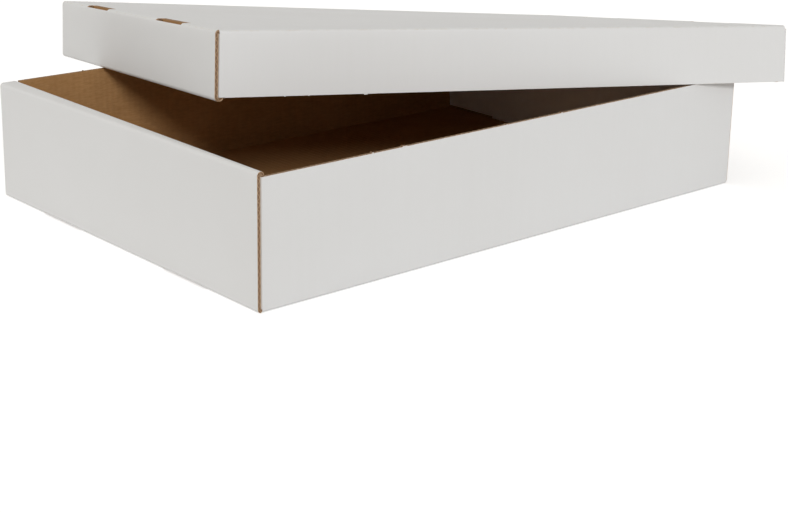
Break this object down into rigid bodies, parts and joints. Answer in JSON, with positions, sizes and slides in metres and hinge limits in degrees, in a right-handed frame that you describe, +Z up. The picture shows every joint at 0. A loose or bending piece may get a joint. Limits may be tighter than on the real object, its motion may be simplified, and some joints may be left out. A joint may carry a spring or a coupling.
{
  "type": "two-piece corrugated food carton",
  "caption": "Shallow corrugated carton: an open folded tray with rolled end walls, and a matching folded lid lying askew on it.",
  "frame": {"origin": "centre of the tray's underside", "axes": "+X along the tray's length, +Y across it from its front to its back, +Z up"},
  "size_m": [0.7426, 0.5652, 0.2048],
  "materials": {
    "tray_board": "white clay-coated outside, brown kraft inside",
    "lid_board": "white clay-coated outside, brown kraft inside"
  },
  "bodies": {
    "root": {"tray": "tray_board", "lid": "lid_board"}
  },
  "joints": []
}
